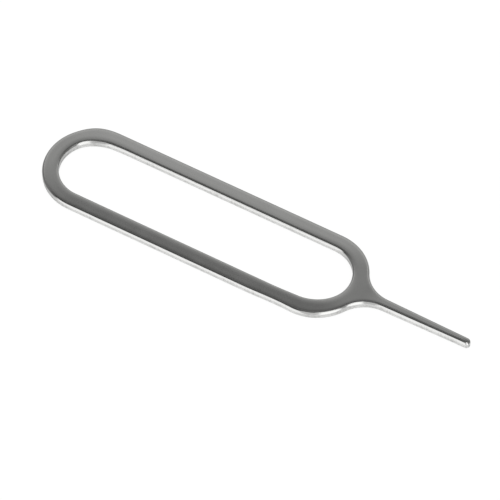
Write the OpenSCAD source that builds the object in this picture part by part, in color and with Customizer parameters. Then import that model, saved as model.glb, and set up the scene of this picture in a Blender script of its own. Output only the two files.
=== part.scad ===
// Eject pin for the SIM tray of a phone: one blank of steel strip, tumbled smooth.
// A long loop to hold it by, and a slim pin that goes into the hole beside the tray.
// It lies flat on its lower face. +X runs along the pin to its tip, +Z is up, and the
// origin is at the middle of the whole blank, on the face that it lies on.

/* [Strip] */
// Thickness of the steel strip
strip_t = 0.85; // [0.7:0.05:1.2]

/* [Loop] */
// Length of the loop outside
loop_l = 34.4; // [20:0.2:45]
// Width of the loop outside
loop_w = 10; // [8:0.5:14]
// Width of the band that the loop is made of
band_w = 1.6; // [1.2:0.1:2.5]

/* [Pin] */
// Length of the pin, from the loop's edge to its tip
pin_l = 11.5; // [9:0.5:16]
// Width between the pin's flanks where they would reach the loop's edge
pin_root_w = 1.1; // [0.9:0.05:1.5]
// Width of the pin at its round tip
pin_tip_w = 0.74; // [0.66:0.02:0.88]
// Radius of the two hollow fillets that lead from the loop into the pin
neck_r = 3.5; // [2:0.1:5]

/* [Edges] */
// Radius that blanking and tumbling leave along the edges of the upper face
upper_edge_r = 0.24; // [0.16:0.02:0.3]
// Radius along the edges of the lower face
lower_edge_r = 0.12; // [0.06:0.02:0.3]

/* [Hidden] */
$fn = 96;

// How far a block or a cut stands clear of the metal
clear = 0.1;

loop_r = loop_w / 2;
hole_r = loop_r - band_w;
tip_r = pin_tip_w / 2;
root_half = pin_root_w / 2;
straight_l = loop_l - loop_w;

// Centre of the loop's front round end, from the middle of the blank. What follows is measured from that centre.
x_front = (loop_l - pin_l) / 2 - loop_r;

// Each flank of the pin leans inwards: it touches the round of the tip, and would reach the loop's edge
// at half the root's width. The lean's cosine is rounded, so that a stretch turned by it keeps its size.
tip_x = loop_r + pin_l - tip_r;
root_to_tip = pin_l - tip_r;
full_lean = atan2(root_half, root_to_tip) - asin(tip_r / norm([root_half, root_to_tip]));
flank_lean = acos(round(cos(full_lean) * 1e6) / 1e6);
flank_along = [cos(flank_lean), -sin(flank_lean)];
flank_out = [sin(flank_lean), cos(flank_lean)];

// The fillet's centre is neck_r off the flank, and the fillet touches the loop's round end from outside.
neck_off = tip_r + neck_r + tip_x * sin(flank_lean);
neck_along = sqrt(pow(loop_r + neck_r, 2) - pow(neck_off, 2));
flank_l = tip_x * cos(flank_lean) - neck_along;

// Corners of the stretches of outline, at which one kind of edge hands over to the next
loop_centre = [0, 0];
loop_top = [0, loop_r + neck_r];
neck_centre = neck_off * flank_out + neck_along * flank_along;
shoulder_corner = [neck_centre.x, loop_r + neck_r];
neck_foot = [neck_centre.x - neck_centre.y * tan(flank_lean), 0];
tip_centre = [tip_x, 0];
tip_front = [tip_x + 2 * tip_r, 0];
tip_top = tip_centre + loop_r * flank_out;

// Moves by a length that has no short decimal form: first its whole hundredths, then the rest
module shift(v) {
    rough = [for (c = v) round(c * 100) / 100];
    translate(rough)
        translate(v - rough)
            children();
}

// What one rounded corner takes away, its centre at the origin and its corner towards +X and +Y
module corner_waste(r) {
    difference() {
        square(r + clear);
        circle(r);
    }
}

// What the two rounded corners of a cut edge take away: the outline is at x = 0, the metal at x < 0
module edge_waste() {
    translate([-upper_edge_r, strip_t - upper_edge_r])
        corner_waste(upper_edge_r);
    translate([-lower_edge_r, lower_edge_r])
        mirror([0, 1])
            corner_waste(lower_edge_r);
}

// Section of metal with one cut edge, at x = 0
module edge_section(depth) {
    difference() {
        translate([-depth, 0])
            square([depth, strip_t]);
        edge_waste();
    }
}

// Section of the loop's band, from the hole's edge to the outer edge
module band_section() {
    difference() {
        translate([hole_r, 0])
            square([band_w, strip_t]);
        translate([loop_r, 0])
            edge_waste();
        translate([hole_r, 0])
            mirror([1, 0])
                edge_waste();
    }
}

// Block over one stretch of the outline, given by its corners
module stretch(corners) {
    translate([0, 0, -clear])
        linear_extrude(height = strip_t + 2 * clear)
            polygon(corners);
}

// Straight bar of the loop, with the quarter round from it to the middle of the back end
module bar_and_back() {
    translate([-straight_l, 0, 0]) {
        rotate([90, 0, 90])
            linear_extrude(height = straight_l)
                band_section();
        rotate([0, 0, 90])
            rotate_extrude(angle = 90)
                band_section();
    }
}

// Front round end of the loop, from the bar to where the fillet starts
module shoulder() {
    intersection() {
        rotate_extrude(angle = 90)
            band_section();
        stretch([loop_centre, neck_centre, shoulder_corner, loop_top]);
    }
}

// Metal between the hole and the hollow fillet
module neck() {
    difference() {
        intersection() {
            shift(neck_centre)
                rotate([0, 0, 180])
                    rotate_extrude(angle = 100)
                        translate([neck_r, 0])
                            mirror([1, 0])
                                edge_section(loop_r);
            stretch([loop_centre, neck_foot, neck_centre]);
        }
        translate([0, 0, -clear])
            cylinder(h = strip_t + 2 * clear, r = hole_r + band_w / 2);
    }
    intersection() {
        rotate_extrude(angle = 90)
            translate([hole_r, 0])
                mirror([1, 0])
                    edge_section(band_w / 2 + clear);
        stretch([loop_centre, neck_foot, neck_centre]);
    }
}

// Puts what is drawn along the X axis along the flank, with the origin at the fillet's centre
module along_flank() {
    shift(neck_centre)
        rotate([0, 0, -flank_lean])
            children();
}

// One side of the pin, from the end of the fillet to the start of the tip's round
module flank() {
    intersection() {
        along_flank()
            translate([-clear, -neck_r, 0])
                rotate([90, 0, 90])
                    linear_extrude(height = flank_l + 2 * clear)
                        edge_section(pin_root_w);
        stretch([neck_foot, tip_centre, tip_top, neck_centre]);
    }
}

// Half of the pin's round tip
module tip() {
    intersection() {
        along_flank()
            shift([flank_l, -neck_r - tip_r])
                rotate([0, 0, 180])
                    rotate_extrude()
                        translate([tip_r, 0])
                            edge_section(tip_r);
        stretch([tip_centre, tip_front, tip_top]);
    }
}

// The half at y > 0, of which the other half is the mirror image
module half_blank() {
    bar_and_back();
    shoulder();
    neck();
    flank();
    tip();
}

module eject_pin() {
    color([0.64, 0.63, 0.61])
        translate([x_front, 0, 0])
            union() {
                half_blank();
                mirror([0, 1, 0])
                    half_blank();
            }
}

eject_pin();
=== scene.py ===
"""Eject pin for a phone's SIM tray: models the stamped steel blank, its finish and its plain stage.

The file is laid out as an add-on and is run as a script. All lengths are metres, in the frame of the
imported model: +X runs along the pin to its tip, +Z is up, and the blank lies on z = 0.
"""

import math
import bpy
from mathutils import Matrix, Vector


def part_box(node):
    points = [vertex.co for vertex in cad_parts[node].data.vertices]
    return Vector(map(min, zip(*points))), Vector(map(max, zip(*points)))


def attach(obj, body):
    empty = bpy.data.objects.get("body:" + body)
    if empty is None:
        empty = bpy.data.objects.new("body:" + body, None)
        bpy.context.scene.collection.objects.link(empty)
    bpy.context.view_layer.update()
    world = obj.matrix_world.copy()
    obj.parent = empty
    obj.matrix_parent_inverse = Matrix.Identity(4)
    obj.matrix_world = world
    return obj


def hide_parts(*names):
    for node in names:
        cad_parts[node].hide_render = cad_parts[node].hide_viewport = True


bl_info = {
    "name": "SIM Tray Eject Pin",
    "version": (1, 0, 0),
    "blender": (4, 5, 0),
    "location": "3D View > Sidebar > Eject Pin",
    "description": "Models a stamped steel eject pin, its tumbled finish and a plain stage",
    "category": "Add Mesh",
}

import bmesh
import bpy
from bpy.props import FloatProperty, FloatVectorProperty, PointerProperty
from mathutils import Vector

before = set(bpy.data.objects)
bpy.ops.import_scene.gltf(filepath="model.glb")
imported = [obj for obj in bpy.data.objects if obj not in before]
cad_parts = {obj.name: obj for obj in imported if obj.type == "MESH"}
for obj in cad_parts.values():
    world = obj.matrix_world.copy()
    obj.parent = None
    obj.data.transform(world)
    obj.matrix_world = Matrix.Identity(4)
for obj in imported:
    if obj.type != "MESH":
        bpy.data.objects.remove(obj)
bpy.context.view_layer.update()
cad_low, cad_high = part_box("eject_pin")
cad_size = cad_high - cad_low

MM = 0.001
ALONG_Y = (0, 1, 0)
ALONG_Z = (0, 0, 1)
WHITE = (1, 1, 1, 1)
PIECE = "eject_pin_blank"
# Length of the pin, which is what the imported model's length leaves beside the loop
PIN_L = 11.5 * MM
# Two points closer than this are one
SAME_PLACE = 1e-6
# How near, along X and round the front centre, a point counts as being at the pin's foot or the neck's start
NEAR_FOOT = 0.01 * MM
NEAR_ANGLE = 1e-4

# How many faces each stretch of the outline has along it
BACK_STEPS = 36
BAR_STEPS = 40
SHOULDER_STEPS = 26
NECK_STEPS = 24
FLANK_STEPS = 16
TIP_STEPS = 10
# Faces across half of the pin
PIN_ROWS = 4
# Rows of vertices between the two edges of the band
BAND_ROWS = 11
# Faces round the upper and the lower edge
UPPER_EDGE_STEPS = 10
LOWER_EDGE_STEPS = 6
# On each straight part of a cut edge: the share of the face next to the rounded edge, and how many faces
# divide the rest
RIM_SHARE = 0.15
WALL_STEPS = 2
# Height of the step from the burnished to the broken part of a cut edge
BREAK_STEP_H = 0.04 * MM

# The most that a vertex is moved off the nominal blank
LARGEST_MOVE = 0.2 * MM
# Between which angles round the front the band's lean fades in, at y > 0 and at y < 0
LEFT_LEAN_FADE = (math.radians(38), math.radians(90))
RIGHT_LEAN_FADE = (math.radians(25), math.radians(68))
# The band leans less by this share round one angle of the back end, and how far to each side that reaches
LEAN_EASE = 0.5
LEAN_EASE_ANGLE = math.radians(30)
LEAN_EASE_REACH = math.radians(45)
# Along the bar at y > 0 the hole's roll is weaker by this share, and fades over this length at both ends
ROLL_EASE = 0.5
ROLL_EASE_RUN = 6 * MM
# From this far before its foot, the roll along the pin takes at most this share of the pin's half width
PIN_ROLL_RUN = 2 * MM
PIN_ROLL_SHARE = 0.75
# Length of web over which the pin's twist fades in
TWIST_RUN = 2.5 * MM
# The pin's upper face bends down over this last length, at this radius
NOSE_L = 0.5 * MM
NOSE_R = 1.2 * MM
# Where the real loop leaves the nominal one: the round centre it is measured from, how far along X from
# there and at what angle, how far the fault reaches, and how far outwards it puts the hole's edge and the
# outer edge
OUTLINE_FAULTS = (
    ("front", 0.0, math.radians(-68), 4.6 * MM, -0.16 * MM, 0.0),
    ("front", -1.55 * MM, math.radians(-90), 3.6 * MM, 0.0, -0.09 * MM),
    ("back", 0.0, math.radians(110), 3 * MM, -0.12 * MM, 0.0),
    ("back", 0.0, math.radians(118), 2 * MM, 0.0, 0.11 * MM),
)

# Depths of the tumbled dents, the punch's streaks and the torn grain
PIT_DEPTH = 0.0004 * MM
STREAK_DEPTH = 0.002 * MM
GRAIN_DEPTH = 0.008 * MM
# Sizes of the dents, of the patches of sheen, of the streaks, of the torn grain and of the waver in the
# break's upper end
PIT_SIZE = 0.07 * MM
PATCH_SIZE = 1.6 * MM
STREAK_SIZE = 0.14 * MM
GRAIN_SIZE = 0.16 * MM
WAVER_SIZE = 0.5 * MM
# How far up and down the break's upper end wavers, and over what height it fades
WAVER_H = 0.05 * MM
BREAK_FADE = 0.02 * MM
# Scale of the streaks' pattern along each axis, which draws them out along Z
STREAK_SCALE = (1.0, 1.0, 0.08)
# Between which values nearly all of a noise lies
NOISE_SPAN = (0.3, 0.7)
# How steep the surface is where the polish, the colour of the cut edge and its marks fade in
POLISH_FADE = (0.02, 0.4)
CUT_COLOUR_FADE = (0.25, 0.6)
CUT_MARKS_FADE = (0.55, 0.95)
# How strong a pattern is where its marks fade in, how much they colour at most, and their colour
STREAK_FADE = (0.2, 0.4)
STREAK_SHARE = 0.6
STREAK_COLOUR = (0.4, 0.4, 0.392, 1)
GRAIN_FADE = (0.45, 0.7)
GRAIN_SHARE = 0.7
GRAIN_COLOUR = (0.36, 0.36, 0.352, 1)
PIT_SHARE = 0.06
PIT_COLOUR = (0.3, 0.295, 0.285, 1)
# How far the patches make the steel rougher or smoother
SHEEN_SHIFT = 0.02

# How far the floor lies below the blank
FLOOR_GAP = 0.01 * MM
# The floor's own white to the camera, and how much of it there is beside the shaded floor
FLOOR_WHITE = 1.0
FLOOR_WHITE_SHARE = 0.9
# Soft light from straight above: where it stands, how strong it is and how wide
OVERHEAD_PLACE = (0, 0, 1)
OVERHEAD_STRENGTH = 3.2
OVERHEAD_SPREAD = math.radians(90)
# Elevation in degrees, and how bright the tent is there: behind the pin, and in front of it
BACK_LEVELS = (
    (-90, 0.66),
    (-40, 0.66),
    (-5, 0.4),
    (25, 0.4),
    (38, 0.66),
    (45.5, 0.66),
    (49, 0.475),
    (52, 0.27),
    (55, 0.147),
    (60, 0.1),
    (75, 0.16),
    (90, 0.24),
)
FRONT_LEVELS = (
    (-90, 1.02),
    (-50, 1.0),
    (-34, 0.66),
    (0, 0.36),
    (20, 0.08),
    (55, 0.08),
    (75, 0.14),
    (90, 0.24),
)
# Y of the directions at which the tent's front starts to show, and at which nothing is left of its back
FRONT_FADE = (0.15, -0.35)
# Level that the ramps and panels hold as 1, which none of theirs is above
TOP_LEVEL = 2.0
# Bright and dark panels in the tent: azimuth and half width, and lowest and highest elevation, all in
# degrees, and level
TENT_PANELS = (
    (-90, 20, -22, 45, 0.25),
    (110, 28, -90, -28, 0.86),
    (22, 20, -22, 46, 0.75),
    (-22, 17, -58, 20, 1.35),
    (55, 16, -46, 60, 1.6),
    (128, 26, -8, 54, 0.2),
)
# How softly a panel's sides fade out, and its lower and upper ends, which fade by the direction's Z
PANEL_SIDE_FADE = math.radians(8)
PANEL_END_FADE = 0.1

# Point that the camera looks at
VIEW_TARGET = (-0.5112 * MM, -0.4516 * MM, 0)
# Width of the camera's sensor and focal length of its lens, in the millimetres that Blender counts them in
SENSOR_W = 36
LENS = 403.68
# Nearest and farthest distance at which the camera sees anything
NEAREST_SEEN = 0.05
FARTHEST_SEEN = 20


class BlankSettings(bpy.types.PropertyGroup):
    """Sizes of the stamped blank"""

    strip_t: FloatProperty(
        name="Strip Thickness",
        description="Thickness of the steel strip",
        default=cad_size.z, min=0.0005, max=0.002, unit="LENGTH", precision=5,
    )
    loop_l: FloatProperty(
        name="Loop Length",
        description="Length of the loop outside",
        default=cad_size.x - PIN_L, min=0.02, max=0.045, unit="LENGTH", precision=5,
    )
    loop_w: FloatProperty(
        name="Loop Width",
        description="Width of the loop outside",
        default=cad_size.y, min=0.008, max=0.014, unit="LENGTH", precision=5,
    )
    band_w: FloatProperty(
        name="Band Width",
        description="Width of the band that the loop is made of",
        default=0.0016, min=0.0012, max=0.0025, unit="LENGTH", precision=5,
    )
    pin_l: FloatProperty(
        name="Pin Length",
        description="Length of the pin, from the loop's edge to its tip",
        default=PIN_L, min=0.009, max=0.016, unit="LENGTH", precision=5,
    )
    pin_root_w: FloatProperty(
        name="Pin Root Width",
        description="Width between the pin's flanks where they would reach the loop's edge",
        default=0.0011, min=0.0009, max=0.0015, unit="LENGTH", precision=5,
    )
    pin_tip_w: FloatProperty(
        name="Pin Tip Width",
        description="Width of the pin at its round tip",
        default=0.00074, min=0.00066, max=0.00088, unit="LENGTH", precision=5,
    )
    neck_r: FloatProperty(
        name="Neck Radius",
        description="Radius of the two hollow fillets between loop and pin",
        default=0.0035, min=0.002, max=0.005, unit="LENGTH", precision=5,
    )
    upper_edge_r: FloatProperty(
        name="Upper Edge Radius",
        description="Radius that tumbling leaves along the edges of the upper face",
        default=0.00024, min=0.0001, max=0.0003, unit="LENGTH", precision=5,
    )
    lower_edge_r: FloatProperty(
        name="Lower Edge Radius",
        description="Radius along the edges of the lower face",
        default=0.00012, min=0.00005, max=0.0002, unit="LENGTH", precision=5,
    )
    burnish_share: FloatProperty(
        name="Burnished Share",
        description="Share of the thickness that the punch burnished before the metal broke",
        default=0.5, min=0.2, max=0.7, subtype="FACTOR",
    )
    break_set_back: FloatProperty(
        name="Break Set-back",
        description="How far the broken part of the cut edge stands back from the burnished part",
        default=0.000015, min=0.0, max=0.00005, unit="LENGTH", precision=6,
    )
    band_lean: FloatProperty(
        name="Band Lean",
        description="How far blanking left the band's upper face leaning outwards",
        default=math.radians(1.9), min=0.0, max=math.radians(4.0), subtype="ANGLE",
    )
    outer_roll_w: FloatProperty(
        name="Outer Roll Width",
        description="Width over which the upper face rolls down to the blank's outer edge",
        default=0.00045, min=0.0003, max=0.0008, unit="LENGTH", precision=5,
    )
    outer_roll_lean: FloatProperty(
        name="Outer Roll Lean",
        description="How far that roll leans where the rounded edge starts",
        default=math.radians(2.2), min=0.0, max=math.radians(8.0), subtype="ANGLE",
    )
    hole_roll_w: FloatProperty(
        name="Hole Roll Width",
        description="Width over which the upper face rolls down to the hole",
        default=0.00066, min=0.0003, max=0.001, unit="LENGTH", precision=5,
    )
    hole_roll_lean: FloatProperty(
        name="Hole Roll Lean",
        description="How far that roll leans where the rounded edge starts",
        default=math.radians(2.8), min=0.0, max=math.radians(8.0), subtype="ANGLE",
    )
    pin_twist: FloatProperty(
        name="Pin Twist",
        description="How far blanking left the pin's upper face leaning to one side",
        default=math.radians(1.2), min=0.0, max=math.radians(2.0), subtype="ANGLE",
    )


class SteelSettings(bpy.types.PropertyGroup):
    """Finish of the tumbled steel"""

    face_colour: FloatVectorProperty(
        name="Face Colour",
        description="Colour of the tumbled faces",
        default=(0.6, 0.601, 0.588), size=3, min=0.0, max=1.0, subtype="COLOR",
    )
    polished_colour: FloatVectorProperty(
        name="Polished Colour",
        description="Colour of the rounded edges and of the burnished part of the cut edge",
        default=(0.65, 0.651, 0.642), size=3, min=0.0, max=1.0, subtype="COLOR",
    )
    break_colour: FloatVectorProperty(
        name="Break Colour",
        description="Colour of the broken part of the cut edge",
        default=(0.63, 0.631, 0.622), size=3, min=0.0, max=1.0, subtype="COLOR",
    )
    face_roughness: FloatProperty(
        name="Face Roughness",
        description="Roughness of the tumbled faces",
        default=0.22, min=0.05, max=0.6, subtype="FACTOR",
    )
    arris_roughness: FloatProperty(
        name="Arris Roughness",
        description="Roughness of the rounded edges, which tumbling polishes most",
        default=0.17, min=0.05, max=0.6, subtype="FACTOR",
    )
    break_roughness: FloatProperty(
        name="Break Roughness",
        description="Roughness of the broken part of the cut edge",
        default=0.42, min=0.05, max=0.9, subtype="FACTOR",
    )
    pit_size: FloatProperty(
        name="Pit Size",
        description="Distance between the fine dents that tumbling leaves",
        default=PIT_SIZE, min=0.00002, max=0.0005, unit="LENGTH", precision=6,
    )


class StageSettings(bpy.types.PropertyGroup):
    """Floor, light and camera"""

    floor_colour: FloatVectorProperty(
        name="Floor Colour",
        description="Colour of the plain floor",
        default=(0.9, 0.9, 0.9), size=3, min=0.0, max=1.0, subtype="COLOR",
    )
    floor_size: FloatProperty(
        name="Floor Size",
        description="Side of the square floor",
        default=8.0, min=1.0, max=20.0, unit="LENGTH",
    )
    view_azimuth: FloatProperty(
        name="View Azimuth",
        description="Turn of the camera round the pin, from straight in front",
        default=math.radians(30.378), subtype="ANGLE",
    )
    view_elevation: FloatProperty(
        name="View Elevation",
        description="Height of the camera above the horizon",
        default=math.radians(51.985), subtype="ANGLE",
    )
    view_distance: FloatProperty(
        name="View Distance",
        description="Distance from the camera to the point that it looks at",
        default=0.529, min=0.1, max=5.0, unit="LENGTH",
    )


class Outline:
    """Centres, corners and angles of the outline's upper half, from the blank's sizes"""

    def __init__(self, sizes):
        self.loop_r = sizes.loop_w / 2
        self.hole_r = self.loop_r - sizes.band_w
        self.neck_r = sizes.neck_r
        self.tip_r = sizes.pin_tip_w / 2
        self.bar_l = sizes.loop_l - sizes.loop_w
        front_x = (sizes.loop_l - sizes.pin_l) / 2 - self.loop_r
        self.front = Vector((front_x, 0, 0))
        self.back = Vector((front_x - self.bar_l, 0, 0))

        # The flank touches the tip's round and would reach the loop's edge at half the root's width
        root_half = sizes.pin_root_w / 2
        root_to_tip = sizes.pin_l - self.tip_r
        tip_along = self.loop_r + root_to_tip
        chord = math.hypot(root_half, root_to_tip)
        self.lean = math.atan2(root_half, root_to_tip) - math.asin(self.tip_r / chord)
        self.flank_along = Vector((math.cos(self.lean), -math.sin(self.lean), 0))
        self.flank_out = Vector((math.sin(self.lean), math.cos(self.lean), 0))
        self.tip = self.front + Vector((tip_along, 0, 0))

        # The fillet touches the flank, and the loop's round end from outside
        neck_off = self.tip_r + self.neck_r + tip_along * math.sin(self.lean)
        neck_along = math.sqrt((self.loop_r + self.neck_r) ** 2 - neck_off**2)
        self.neck = self.front + neck_off * self.flank_out + neck_along * self.flank_along
        self.flank_l = tip_along * math.cos(self.lean) - neck_along
        to_neck = self.neck - self.front
        self.neck_angle = math.atan2(to_neck.y, to_neck.x)
        self.foot_x = self.neck.x - self.neck_r * self.flank_out.x

    def to_edge(self, x, y):
        """Distance from a point of the upper face to the blank's outer edge"""
        place = Vector((x, abs(y), 0))
        if x < self.back.x:
            return self.loop_r - (place - self.back).length
        if x < self.front.x:
            return self.loop_r - place.y
        from_front = place - self.front
        if math.atan2(from_front.y, from_front.x) > self.neck_angle:
            return self.loop_r - from_front.length
        if (place - self.tip).dot(self.flank_along) > 0:
            return self.tip_r - (place - self.tip).length
        if (place - self.neck).dot(self.flank_along) > 0:
            return self.tip_r - (place - self.tip).dot(self.flank_out)
        return (place - self.neck).length - self.neck_r

    def from_spine(self, x, y):
        """Distance from a point to the line between the centres of the loop's round ends"""
        nearest = min(max(x, self.back.x), self.front.x)
        return math.hypot(x - nearest, y)

    def front_angle(self, x, y):
        """Angle of a point round the loop's front centre, from the pin's axis"""
        return math.atan2(abs(y), x - self.front.x)


# Modelling steps, which work on what is selected in edit mode


def deselect_everything():
    if bpy.context.mode != "OBJECT":
        bpy.ops.object.mode_set(mode="OBJECT")
    bpy.ops.object.select_all(action="DESELECT")


def turn(centre, angle, steps, axis=ALONG_Z):
    """Sweeps the selection round an axis, anticlockwise for a positive angle"""
    bpy.ops.mesh.spin(steps=steps, angle=-angle, center=centre, axis=axis)


def pull(way, steps=1):
    """Extrudes the selection by a way, in equal steps"""
    for _ in range(steps):
        bpy.ops.mesh.extrude_region_move(TRANSFORM_OT_translate={"value": Vector(way) / steps})


def select_where(test):
    """Selects the vertices whose place passes the test, and the edges and faces between them"""
    bpy.ops.mesh.select_all(action="DESELECT")
    mesh = bmesh.from_edit_mesh(bpy.context.object.data)
    for vertex in mesh.verts:
        vertex.select_set(test(vertex.co))
    mesh.select_flush(True)
    bmesh.update_edit_mesh(bpy.context.object.data)


def start_point(place):
    """One selected vertex: a small plane merged at its middle and moved to its place"""
    bpy.ops.mesh.select_all(action="DESELECT")
    bpy.ops.mesh.primitive_plane_add(size=MM, location=(0, 0, 0))
    bpy.ops.mesh.merge(type="CENTER")
    bpy.ops.transform.translate(value=place)


def cut_edge_section(edge_x, inwards, sizes):
    """Section of one cut edge at the middle of the loop's back, from the upper face to the lower

    edge_x is where the outline is, and inwards is +1 or -1, the way along X to the metal.
    """
    top = sizes.strip_t
    upper = sizes.upper_edge_r
    lower = sizes.lower_edge_r
    break_z = top * (1 - sizes.burnish_share)
    land = top - upper - break_z
    broken = break_z - BREAK_STEP_H - lower

    start_point((edge_x + inwards * upper, 0, top))
    turn((edge_x + inwards * upper, 0, top - upper), -inwards * math.pi / 2, UPPER_EDGE_STEPS, ALONG_Y)
    pull((0, 0, -RIM_SHARE * land))
    pull((0, 0, -(1 - RIM_SHARE) * land), WALL_STEPS)
    pull((inwards * sizes.break_set_back, 0, -BREAK_STEP_H))
    pull((0, 0, -(1 - RIM_SHARE) * broken), WALL_STEPS)
    pull((0, 0, -RIM_SHARE * broken))
    lower_x = edge_x + inwards * (sizes.break_set_back + lower)
    turn((lower_x, 0, lower), -inwards * math.pi / 2, LOWER_EDGE_STEPS, ALONG_Y)

    reach = max(upper, lower + sizes.break_set_back) + SAME_PLACE
    select_where(lambda co: abs(co.y) < SAME_PLACE and abs(co.x - edge_x) < reach)


def sweep_outer_edge(outline, sizes):
    cut_edge_section(outline.back.x - outline.loop_r, 1, sizes)
    turn(outline.back, -math.pi / 2, BACK_STEPS)
    pull((outline.bar_l, 0, 0), BAR_STEPS)
    turn(outline.front, outline.neck_angle - math.pi / 2, SHOULDER_STEPS)
    turn(outline.neck, math.pi / 2 - outline.neck_angle - outline.lean, NECK_STEPS)
    pull(outline.flank_l * outline.flank_along, FLANK_STEPS)
    turn(outline.tip, outline.lean - math.pi / 2, TIP_STEPS)


def sweep_hole_edge(outline, sizes):
    cut_edge_section(outline.back.x - outline.hole_r, -1, sizes)
    turn(outline.back, -math.pi / 2, BACK_STEPS)
    pull((outline.bar_l, 0, 0), BAR_STEPS)
    turn(outline.front, outline.neck_angle - math.pi / 2, SHOULDER_STEPS)
    turn(outline.front, -outline.neck_angle, NECK_STEPS + PIN_ROWS)


def cover_face(outline, height, rim):
    """Closes the upper or the lower face: first along the pin, then the band, then the web between

    rim is the distance from the outline to where the face starts.
    """

    def at_height(co):
        return abs(co.z - height) < SAME_PLACE

    def on_rim(co):
        off_edge = outline.to_edge(co.x, co.y) - rim
        off_hole = outline.from_spine(co.x, co.y) - outline.hole_r - rim
        return at_height(co) and min(abs(off_edge), abs(off_hole)) < SAME_PLACE

    def across_foot(co):
        return at_height(co) and abs(co.x - outline.foot_x) < NEAR_FOOT

    def of_band(co):
        angle = outline.front_angle(co.x, co.y)
        return on_rim(co) and (co.x < outline.front.x or angle > outline.neck_angle - NEAR_ANGLE)

    def of_web(co):
        in_web = co.x > outline.front.x and co.x < outline.foot_x + NEAR_FOOT
        angle = outline.front_angle(co.x, co.y)
        return in_web and angle < outline.neck_angle + NEAR_ANGLE and (on_rim(co) or across_foot(co))

    select_where(lambda co: at_height(co) and co.x > outline.foot_x - NEAR_FOOT)
    for rows_left in range(PIN_ROWS - 1, -1, -1):
        bpy.ops.mesh.extrude_region_move()
        squeeze = (1, rows_left / (rows_left + 1), 1)
        bpy.ops.transform.resize(value=squeeze, center_override=(0, 0, 0))
    for part in (of_band, of_web):
        select_where(part)
        bpy.ops.mesh.bridge_edge_loops(type="SINGLE", number_cuts=BAND_ROWS, interpolation="LINEAR")


def add_modifier(piece, kind, **values):
    """Adds a modifier, sets its values and applies it"""
    bpy.ops.object.modifier_add(type=kind)
    modifier = piece.modifiers[-1]
    for name, value in values.items():
        setattr(modifier, name, value)
    bpy.ops.object.modifier_apply(modifier=modifier.name)


def roll_drop(distance, reach, start, lean):
    """How far the face has rolled down at a distance from the outline

    The roll begins at reach, and leans by lean at start, where the rounded edge takes over.
    """
    if reach <= start:
        return 0
    inside = max(reach - max(distance, start), 0)
    return inside**2 * math.tan(lean) / (2 * (reach - start))


def smooth_step(low, high, value):
    share = min(max((value - low) / (high - low), 0), 1)
    return share * share * (3 - 2 * share)


def hole_roll_lean(outline, sizes, x, y):
    """How far the face's roll into the hole leans at a point"""
    if y <= 0:
        return sizes.hole_roll_lean
    eased = smooth_step(outline.back.x, outline.back.x + ROLL_EASE_RUN, x)
    eased *= smooth_step(outline.front.x, outline.front.x - ROLL_EASE_RUN, x)
    return sizes.hole_roll_lean * (1 - ROLL_EASE * eased)


def lean_share(outline, x, y):
    """How much of the band's lean there is at a point"""
    if x > outline.front.x:
        fade = LEFT_LEAN_FADE if y > 0 else RIGHT_LEAN_FADE
        return smooth_step(*fade, outline.front_angle(x, y))
    if x < outline.back.x:
        off_angle = abs(math.atan2(y, outline.back.x - x) - LEAN_EASE_ANGLE)
        return 1 - LEAN_EASE * smooth_step(LEAN_EASE_REACH, 0, off_angle)
    return 1


def worn_drop(outline, sizes, x, y):
    """How far the real upper face lies below the flat strip, at a point"""
    start = sizes.upper_edge_r
    outer_reach = sizes.outer_roll_w
    if x > outline.foot_x - PIN_ROLL_RUN:
        half_width = outline.to_edge(min(x, outline.tip.x), 0)
        outer_reach = min(outer_reach, max(PIN_ROLL_SHARE * half_width, start))
    past_hole = outline.from_spine(x, y) - outline.hole_r
    outer_roll = roll_drop(outline.to_edge(x, y), outer_reach, start, sizes.outer_roll_lean)
    hole_roll = roll_drop(past_hole, sizes.hole_roll_w, start, hole_roll_lean(outline, sizes, x, y))
    twisted = smooth_step(outline.foot_x - TWIST_RUN, outline.foot_x, x)
    twist = twisted * max(sizes.pin_root_w / 2 + y, 0) * math.tan(sizes.pin_twist)
    nose = max(x - outline.tip.x - outline.tip_r + NOSE_L, 0) ** 2 / (2 * NOSE_R)
    lean = lean_share(outline, x, y) * max(past_hole, 0) * math.tan(sizes.band_lean)
    return outer_roll + hole_roll + twist + nose + lean


def outline_shift(outline, sizes, x, y):
    """Which way and how far the real loop lies off the nominal one, at a point"""
    nearest = Vector((min(max(x, outline.back.x), outline.front.x), 0, 0))
    outwards = Vector((x, y, 0)) - nearest
    share = min(max((outwards.length - outline.hole_r) / sizes.band_w, 0), 1)
    outwards.normalize()
    middle_r = outline.hole_r + sizes.band_w / 2
    shift = 0
    for centre, along, angle, reach, at_hole, at_edge in OUTLINE_FAULTS:
        middle = getattr(outline, centre) + Vector((along, 0, 0))
        middle += middle_r * Vector((math.cos(angle), math.sin(angle), 0))
        distance = (nearest + middle_r * outwards - middle).length
        shift += smooth_step(reach, 0, distance) * (at_hole + share * (at_edge - at_hole))
    if x > outline.front.x:
        shift *= smooth_step(0, outline.neck_angle, outline.front_angle(x, y))
    return shift * outwards


def move_each(piece, direction, amounts):
    """Moves each vertex along one axis by its own amount"""
    for sign in (1, -1):
        moved = [(index, sign * amount) for index, amount in enumerate(amounts) if sign * amount > 0]
        if not moved:
            continue
        group = piece.vertex_groups.new(name="Moved")
        for index, amount in moved:
            group.add([index], amount / LARGEST_MOVE, "REPLACE")
        add_modifier(
            piece, "DISPLACE",
            vertex_group="Moved", direction=direction, mid_level=0, strength=sign * LARGEST_MOVE,
        )
        piece.vertex_groups.clear()


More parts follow.
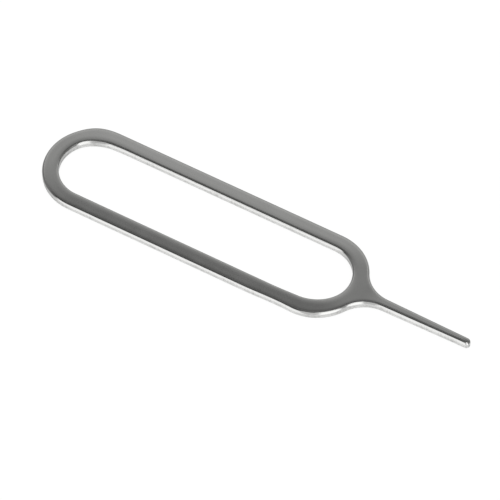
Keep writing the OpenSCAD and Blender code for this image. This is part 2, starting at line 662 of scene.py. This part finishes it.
def wear(piece, outline, sizes):
    """Moves the nominal blank's vertices to where the real one's lie"""
    rolled_z = sizes.strip_t - sizes.upper_edge_r
    break_z = sizes.strip_t * (1 - sizes.burnish_share)
    shifts = []
    rises = []
    for vertex in piece.data.vertices:
        height_share = min(max((vertex.co.z - break_z) / (rolled_z - break_z), 0), 1)
        shifts.append(outline_shift(outline, sizes, vertex.co.x, vertex.co.y))
        rises.append(-worn_drop(outline, sizes, vertex.co.x, vertex.co.y) * height_share)
    move_each(piece, "X", [shift.x for shift in shifts])
    move_each(piece, "Y", [shift.y for shift in shifts])
    move_each(piece, "Z", rises)


def model_blank(sizes):
    """The whole blank as one closed mesh"""
    outline = Outline(sizes)
    deselect_everything()
    bpy.ops.mesh.primitive_plane_add(size=MM)
    piece = bpy.context.object
    piece.name = PIECE
    piece.data.name = PIECE
    bpy.ops.object.mode_set(mode="EDIT")
    bpy.ops.mesh.select_all(action="SELECT")
    bpy.ops.mesh.delete(type="VERT")
    sweep_outer_edge(outline, sizes)
    sweep_hole_edge(outline, sizes)
    cover_face(outline, sizes.strip_t, sizes.upper_edge_r)
    cover_face(outline, 0, sizes.lower_edge_r + sizes.break_set_back)
    bpy.ops.mesh.select_all(action="SELECT")
    bpy.ops.mesh.remove_doubles(threshold=SAME_PLACE)
    bpy.ops.object.mode_set(mode="OBJECT")
    add_modifier(piece, "MIRROR", use_axis=(False, True, False), merge_threshold=SAME_PLACE)

    bpy.ops.object.mode_set(mode="EDIT")
    bpy.ops.mesh.select_all(action="SELECT")
    bpy.ops.mesh.normals_make_consistent(inside=False)
    bpy.ops.object.mode_set(mode="OBJECT")
    wear(piece, outline, sizes)
    bpy.ops.object.shade_smooth()
    return piece


def check_closed(piece):
    mesh = bmesh.new()
    mesh.from_mesh(piece.data)
    open_edges = [edge for edge in mesh.edges if len(edge.link_faces) != 2]
    volume = mesh.calc_volume(signed=True)
    mesh.free()
    if open_edges or volume <= 0:
        raise RuntimeError(f"{piece.name} isn't closed: {len(open_edges)} open edges, volume {volume:g}")


def mark_walls(piece):
    """Keeps how steep the surface is at each vertex: 0 on a flat face and 1 on a cut edge"""
    wall = piece.data.attributes.new("wall", "FLOAT", "POINT")
    for vertex in piece.data.vertices:
        wall.data[vertex.index].value = 1 - abs(vertex.normal.z)


# Nodes


def add_node(tree, kind, inputs=None, **values):
    """Adds a node; each input is a number, a colour or the socket that feeds it"""
    node = tree.nodes.new(kind)
    for name, value in values.items():
        setattr(node, name, value)
    for key, value in (inputs or {}).items():
        if isinstance(value, bpy.types.NodeSocket):
            tree.links.new(value, node.inputs[key])
        else:
            node.inputs[key].default_value = value
    return node


def new_group(name, inputs, outputs):
    """Starts a shader node group; returns it with its input and output nodes"""
    tree = bpy.data.node_groups.new(name, "ShaderNodeTree")
    for label, kind, default in inputs:
        socket = tree.interface.new_socket(name=label, in_out="INPUT", socket_type=kind)
        if default is not None:
            socket.default_value = default
    for label, kind in outputs:
        tree.interface.new_socket(name=label, in_out="OUTPUT", socket_type=kind)
    return tree, tree.nodes.new("NodeGroupInput"), tree.nodes.new("NodeGroupOutput")


def math_node(tree, operation, first, second=0.0):
    node = add_node(tree, "ShaderNodeMath", {0: first, 1: second}, operation=operation)
    return node.outputs[0]


def map_range(tree, value, from_low, from_high, to_low=0.0, to_high=1.0, smooth=False):
    kind = "SMOOTHSTEP" if smooth else "LINEAR"
    inputs = {
        "Value": value,
        "From Min": from_low,
        "From Max": from_high,
        "To Min": to_low,
        "To Max": to_high,
    }
    return add_node(tree, "ShaderNodeMapRange", inputs, interpolation_type=kind).outputs["Result"]


def noise(tree, vector, scale, detail=2.0, roughness=0.5):
    inputs = {"Vector": vector, "Scale": scale, "Detail": detail, "Roughness": roughness}
    return add_node(tree, "ShaderNodeTexNoise", inputs).outputs["Fac"]


def tumbled_group():
    """Fine dents all over, and slow changes of sheen from place to place"""
    tree, into, out = new_group(
        "Tumbled Finish",
        [
            ("Vector", "NodeSocketVector", None),
            ("Pit Size", "NodeSocketFloat", PIT_SIZE),
            ("Patch Size", "NodeSocketFloat", PATCH_SIZE),
        ],
        [("Pits", "NodeSocketFloat"), ("Patches", "NodeSocketFloat")],
    )
    place = into.outputs["Vector"]
    pit_scale = math_node(tree, "DIVIDE", 1.0, into.outputs["Pit Size"])
    patch_scale = math_node(tree, "DIVIDE", 1.0, into.outputs["Patch Size"])
    tree.links.new(noise(tree, place, pit_scale, detail=3.0, roughness=0.6), out.inputs["Pits"])
    tree.links.new(noise(tree, place, patch_scale), out.inputs["Patches"])
    return tree


def cut_edge_group():
    """Masks of a cut edge: the fine streaks that the punch drew down it, and the torn grain of the break"""
    tree, into, out = new_group(
        "Cut Edge",
        [
            ("Vector", "NodeSocketVector", None),
            ("Wall", "NodeSocketFloat", None),
            ("Break Height", "NodeSocketFloat", None),
        ],
        [("Broken", "NodeSocketFloat"), ("Streaks", "NodeSocketFloat"), ("Torn Grain", "NodeSocketFloat")],
    )
    place = into.outputs["Vector"]
    height = add_node(tree, "ShaderNodeSeparateXYZ", {0: place}).outputs["Z"]
    waver = noise(tree, place, 1 / WAVER_SIZE, detail=3.0)
    waver_height = map_range(tree, waver, *NOISE_SPAN, -WAVER_H, WAVER_H)
    edge_height = math_node(tree, "ADD", into.outputs["Break Height"], waver_height)
    below = math_node(tree, "SUBTRACT", edge_height, height)
    broken = map_range(tree, below, -BREAK_FADE, BREAK_FADE, smooth=True)
    steep = map_range(tree, into.outputs["Wall"], *CUT_MARKS_FADE, smooth=True)
    tree.links.new(math_node(tree, "MULTIPLY", broken, steep), out.inputs["Broken"])
    flat_place = add_node(tree, "ShaderNodeVectorMath", {0: place, 1: STREAK_SCALE}, operation="MULTIPLY")
    streaks = noise(tree, flat_place.outputs[0], 1 / STREAK_SIZE, detail=4.0, roughness=0.6)
    tree.links.new(math_node(tree, "MULTIPLY", streaks, steep), out.inputs["Streaks"])
    grain = noise(tree, place, 1 / GRAIN_SIZE, detail=5.0, roughness=0.65)
    tree.links.new(grain, out.inputs["Torn Grain"])
    return tree


def mix_colour(tree, factor, first, second):
    node = add_node(tree, "ShaderNodeMix", {0: factor, 6: first, 7: second}, data_type="RGBA")
    return node.outputs[2]


def mix_number(tree, factor, first, second):
    node = add_node(tree, "ShaderNodeMix", {0: factor, 2: first, 3: second}, data_type="FLOAT")
    return node.outputs[0]


def steel_material(steel, sizes):
    material = bpy.data.materials.new("Tumbled Steel")
    material.use_nodes = True
    tree = material.node_tree
    tree.nodes.clear()
    place = add_node(tree, "ShaderNodeTexCoord").outputs["Object"]
    wall = add_node(tree, "ShaderNodeAttribute", attribute_name="wall").outputs["Fac"]

    tumbled = add_node(tree, "ShaderNodeGroup", node_tree=tumbled_group())
    tree.links.new(place, tumbled.inputs["Vector"])
    tumbled.inputs["Pit Size"].default_value = steel.pit_size
    cut = add_node(tree, "ShaderNodeGroup", node_tree=cut_edge_group())
    tree.links.new(place, cut.inputs["Vector"])
    tree.links.new(wall, cut.inputs["Wall"])
    cut.inputs["Break Height"].default_value = sizes.strip_t * (1 - sizes.burnish_share)
    broken = cut.outputs["Broken"]

    # Tumbling polishes the rounded edges most, so they are the smoothest
    polished = map_range(tree, wall, *POLISH_FADE, smooth=True)
    roughness = mix_number(tree, polished, steel.face_roughness, steel.arris_roughness)
    roughness = mix_number(tree, broken, roughness, steel.break_roughness)
    sheen_shift = map_range(tree, tumbled.outputs["Patches"], *NOISE_SPAN, -SHEEN_SHIFT, SHEEN_SHIFT)
    roughness = math_node(tree, "ADD", roughness, sheen_shift)

    steep = map_range(tree, wall, *CUT_COLOUR_FADE, smooth=True)
    colour = mix_colour(tree, steep, (*steel.face_colour, 1), (*steel.polished_colour, 1))
    colour = mix_colour(tree, broken, colour, (*steel.break_colour, 1))
    # The streaks come and go along the edge with the slow patches
    drawn = math_node(tree, "MULTIPLY", cut.outputs["Streaks"], tumbled.outputs["Patches"])
    drawn = map_range(tree, drawn, *STREAK_FADE, 0.0, STREAK_SHARE, smooth=True)
    colour = mix_colour(tree, drawn, colour, STREAK_COLOUR)
    torn = map_range(tree, cut.outputs["Torn Grain"], *GRAIN_FADE, 0.0, GRAIN_SHARE, smooth=True)
    torn = math_node(tree, "MULTIPLY", torn, broken)
    colour = mix_colour(tree, torn, colour, GRAIN_COLOUR)
    shade = map_range(tree, tumbled.outputs["Pits"], *NOISE_SPAN, 0.0, PIT_SHARE)
    colour = mix_colour(tree, shade, colour, PIT_COLOUR)

    pits = math_node(tree, "MULTIPLY", tumbled.outputs["Pits"], PIT_DEPTH)
    streaks = math_node(tree, "MULTIPLY", cut.outputs["Streaks"], STREAK_DEPTH)
    grain = math_node(tree, "MULTIPLY", cut.outputs["Torn Grain"], GRAIN_DEPTH)
    grain = math_node(tree, "MULTIPLY", grain, broken)
    height = math_node(tree, "ADD", math_node(tree, "ADD", pits, streaks), grain)
    bump = add_node(tree, "ShaderNodeBump", {"Strength": 1.0, "Distance": 1.0, "Height": height})

    surface = add_node(
        tree, "ShaderNodeBsdfPrincipled",
        {"Base Color": colour, "Metallic": 1.0, "Roughness": roughness, "Normal": bump.outputs[0]},
    )
    output = add_node(tree, "ShaderNodeOutputMaterial")
    tree.links.new(surface.outputs[0], output.inputs[0])
    return material


class EJECTPIN_OT_blank(bpy.types.Operator):
    """Model the stamped blank and give it its steel"""

    bl_idname = "ejectpin.blank"
    bl_label = "Model the Blank"

    def execute(self, context):
        sizes = context.scene.ejectpin_blank
        piece = model_blank(sizes)
        check_closed(piece)
        mark_walls(piece)
        piece.data.materials.append(steel_material(context.scene.ejectpin_steel, sizes))
        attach(piece, "root")
        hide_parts("eject_pin")
        return {"FINISHED"}


def floor_material(colour):
    """White to the camera, with the pin's shadow kept; seen from below it isn't there"""
    material = bpy.data.materials.new("Pale Floor")
    material.use_nodes = True
    tree = material.node_tree
    tree.nodes.clear()
    shaded = add_node(tree, "ShaderNodeBsdfDiffuse", {"Color": (*colour, 1)})
    white = add_node(tree, "ShaderNodeEmission", {"Color": WHITE, "Strength": FLOOR_WHITE})
    path = add_node(tree, "ShaderNodeLightPath")
    share = math_node(tree, "MULTIPLY", path.outputs["Is Camera Ray"], FLOOR_WHITE_SHARE)
    seen = add_node(tree, "ShaderNodeMixShader", {0: share, 1: shaded.outputs[0], 2: white.outputs[0]})
    below = add_node(tree, "ShaderNodeNewGeometry").outputs["Backfacing"]
    clear = add_node(tree, "ShaderNodeBsdfTransparent")
    whole = add_node(tree, "ShaderNodeMixShader", {0: below, 1: seen.outputs[0], 2: clear.outputs[0]})
    output = add_node(tree, "ShaderNodeOutputMaterial")
    tree.links.new(whole.outputs[0], output.inputs[0])
    return material


def tent_wall(tree, rise, levels):
    """How bright one side of the tent is, from the height of the direction"""
    ramp = add_node(tree, "ShaderNodeValToRGB", {0: map_range(tree, rise, -1.0, 1.0)})
    stops = ramp.color_ramp.elements
    for number, (elevation, level) in enumerate(levels):
        stop = stops[number] if number < len(stops) else stops.new(1.0)
        stop.position = (math.sin(math.radians(elevation)) + 1) / 2
        share = level / TOP_LEVEL
        stop.color = (share, share, share, 1)
    return ramp.outputs["Color"]


def panel_mask(tree, azimuth, rise, panel):
    """1 where a direction meets a panel"""
    middle, half_width, lowest, highest, _ = panel
    off_middle = math_node(tree, "SUBTRACT", azimuth, math.radians(middle))
    off_middle = math_node(tree, "ABSOLUTE", off_middle)
    side = math.radians(half_width)
    across = map_range(tree, off_middle, side + PANEL_SIDE_FADE, side, smooth=True)
    low = math.sin(math.radians(lowest))
    high = math.sin(math.radians(highest))
    above = map_range(tree, rise, low - PANEL_END_FADE, low, smooth=True)
    under = map_range(tree, rise, high + PANEL_END_FADE, high, smooth=True)
    return math_node(tree, "MULTIPLY", across, math_node(tree, "MULTIPLY", above, under))


def light_tent(scene):
    """The world: a tent that is bright low in front and dimmer behind, with bright and dark panels in it

    Its lower half is what the steel shows of the pale floor. The camera sees the tent as plain white.
    """
    world = bpy.data.worlds.new("Light Tent")
    scene.world = world
    world.use_nodes = True
    tree = world.node_tree
    tree.nodes.clear()
    direction = add_node(tree, "ShaderNodeTexCoord").outputs["Generated"]
    parts = add_node(tree, "ShaderNodeSeparateXYZ", {0: direction}).outputs
    back = tent_wall(tree, parts["Z"], BACK_LEVELS)
    front = tent_wall(tree, parts["Z"], FRONT_LEVELS)
    facing = map_range(tree, parts["Y"], *FRONT_FADE, smooth=True)
    tent = mix_colour(tree, facing, back, front)
    toward_front = math_node(tree, "MULTIPLY", parts["Y"], -1.0)
    azimuth = math_node(tree, "ARCTAN2", parts["X"], toward_front)
    for panel in TENT_PANELS:
        share = panel[-1] / TOP_LEVEL
        mask = panel_mask(tree, azimuth, parts["Z"], panel)
        tent = mix_colour(tree, mask, tent, (share, share, share, 1))
    camera_ray = add_node(tree, "ShaderNodeLightPath").outputs["Is Camera Ray"]
    seen = mix_colour(tree, camera_ray, tent, WHITE)
    strength = mix_number(tree, camera_ray, TOP_LEVEL, 1.0)
    background = add_node(tree, "ShaderNodeBackground", {"Color": seen, "Strength": strength})
    output = add_node(tree, "ShaderNodeOutputWorld")
    tree.links.new(background.outputs[0], output.inputs[0])


def away(azimuth, elevation):
    """Direction from the pin, as the camera's views count it: azimuth 0 is in front, towards -Y"""
    flat = math.cos(elevation)
    return Vector((math.sin(azimuth) * flat, -math.cos(azimuth) * flat, math.sin(elevation)))


def aim(thing, place, target):
    thing.location = place
    thing.rotation_euler = (Vector(target) - Vector(place)).to_track_quat("-Z", "Y").to_euler()


class EJECTPIN_OT_stage(bpy.types.Operator):
    """Set up the floor, the light and the camera"""

    bl_idname = "ejectpin.stage"
    bl_label = "Set the Stage"

    def execute(self, context):
        scene = context.scene
        stage = scene.ejectpin_stage
        deselect_everything()
        bpy.ops.mesh.primitive_plane_add(size=stage.floor_size, location=(0, 0, -FLOOR_GAP))
        floor = context.object
        floor.name = "floor"
        floor.data.materials.append(floor_material(stage.floor_colour))
        floor.visible_glossy = False
        light_tent(scene)

        bpy.ops.object.light_add(type="SUN", location=OVERHEAD_PLACE)
        overhead = context.object
        overhead.name = "overhead_light"
        overhead.data.energy = OVERHEAD_STRENGTH
        overhead.data.angle = OVERHEAD_SPREAD
        overhead.visible_glossy = False

        target = Vector(VIEW_TARGET)
        bpy.ops.object.camera_add()
        camera = context.object
        camera.name = "photo_camera"
        aim(camera, target + stage.view_distance * away(stage.view_azimuth, stage.view_elevation), target)
        camera.data.sensor_width = SENSOR_W
        camera.data.lens = LENS
        camera.data.clip_start = NEAREST_SEEN
        camera.data.clip_end = FARTHEST_SEEN
        scene.camera = camera
        scene.view_settings.view_transform = "Standard"
        return {"FINISHED"}


class EJECTPIN_PT_sidebar(bpy.types.Panel):
    """Sizes, finish and stage of the eject pin"""

    bl_idname = "EJECTPIN_PT_sidebar"
    bl_label = "Eject Pin"
    bl_space_type = "VIEW_3D"
    bl_region_type = "UI"
    bl_category = "Eject Pin"

    def draw(self, context):
        layout = self.layout
        for title, settings, operator in SIDEBAR_PARTS:
            box = layout.box()
            box.label(text=title)
            group = getattr(context.scene, settings)
            for name in group.__annotations__:
                box.prop(group, name)
            if operator:
                box.operator(operator)


# Title, settings and operator of each part of the sidebar
SIDEBAR_PARTS = (
    ("Blank", "ejectpin_blank", "ejectpin.blank"),
    ("Steel", "ejectpin_steel", None),
    ("Stage", "ejectpin_stage", "ejectpin.stage"),
)
CLASSES = (
    BlankSettings,
    SteelSettings,
    StageSettings,
    EJECTPIN_OT_blank,
    EJECTPIN_OT_stage,
    EJECTPIN_PT_sidebar,
)


def register():
    for cls in CLASSES:
        bpy.utils.register_class(cls)
    bpy.types.Scene.ejectpin_blank = PointerProperty(type=BlankSettings)
    bpy.types.Scene.ejectpin_steel = PointerProperty(type=SteelSettings)
    bpy.types.Scene.ejectpin_stage = PointerProperty(type=StageSettings)


def unregister():
    del bpy.types.Scene.ejectpin_stage
    del bpy.types.Scene.ejectpin_steel
    del bpy.types.Scene.ejectpin_blank
    for cls in reversed(CLASSES):
        bpy.utils.unregister_class(cls)


def main():
    register()
    bpy.ops.ejectpin.blank()
    bpy.ops.ejectpin.stage()


if __name__ == "__main__":
    main()
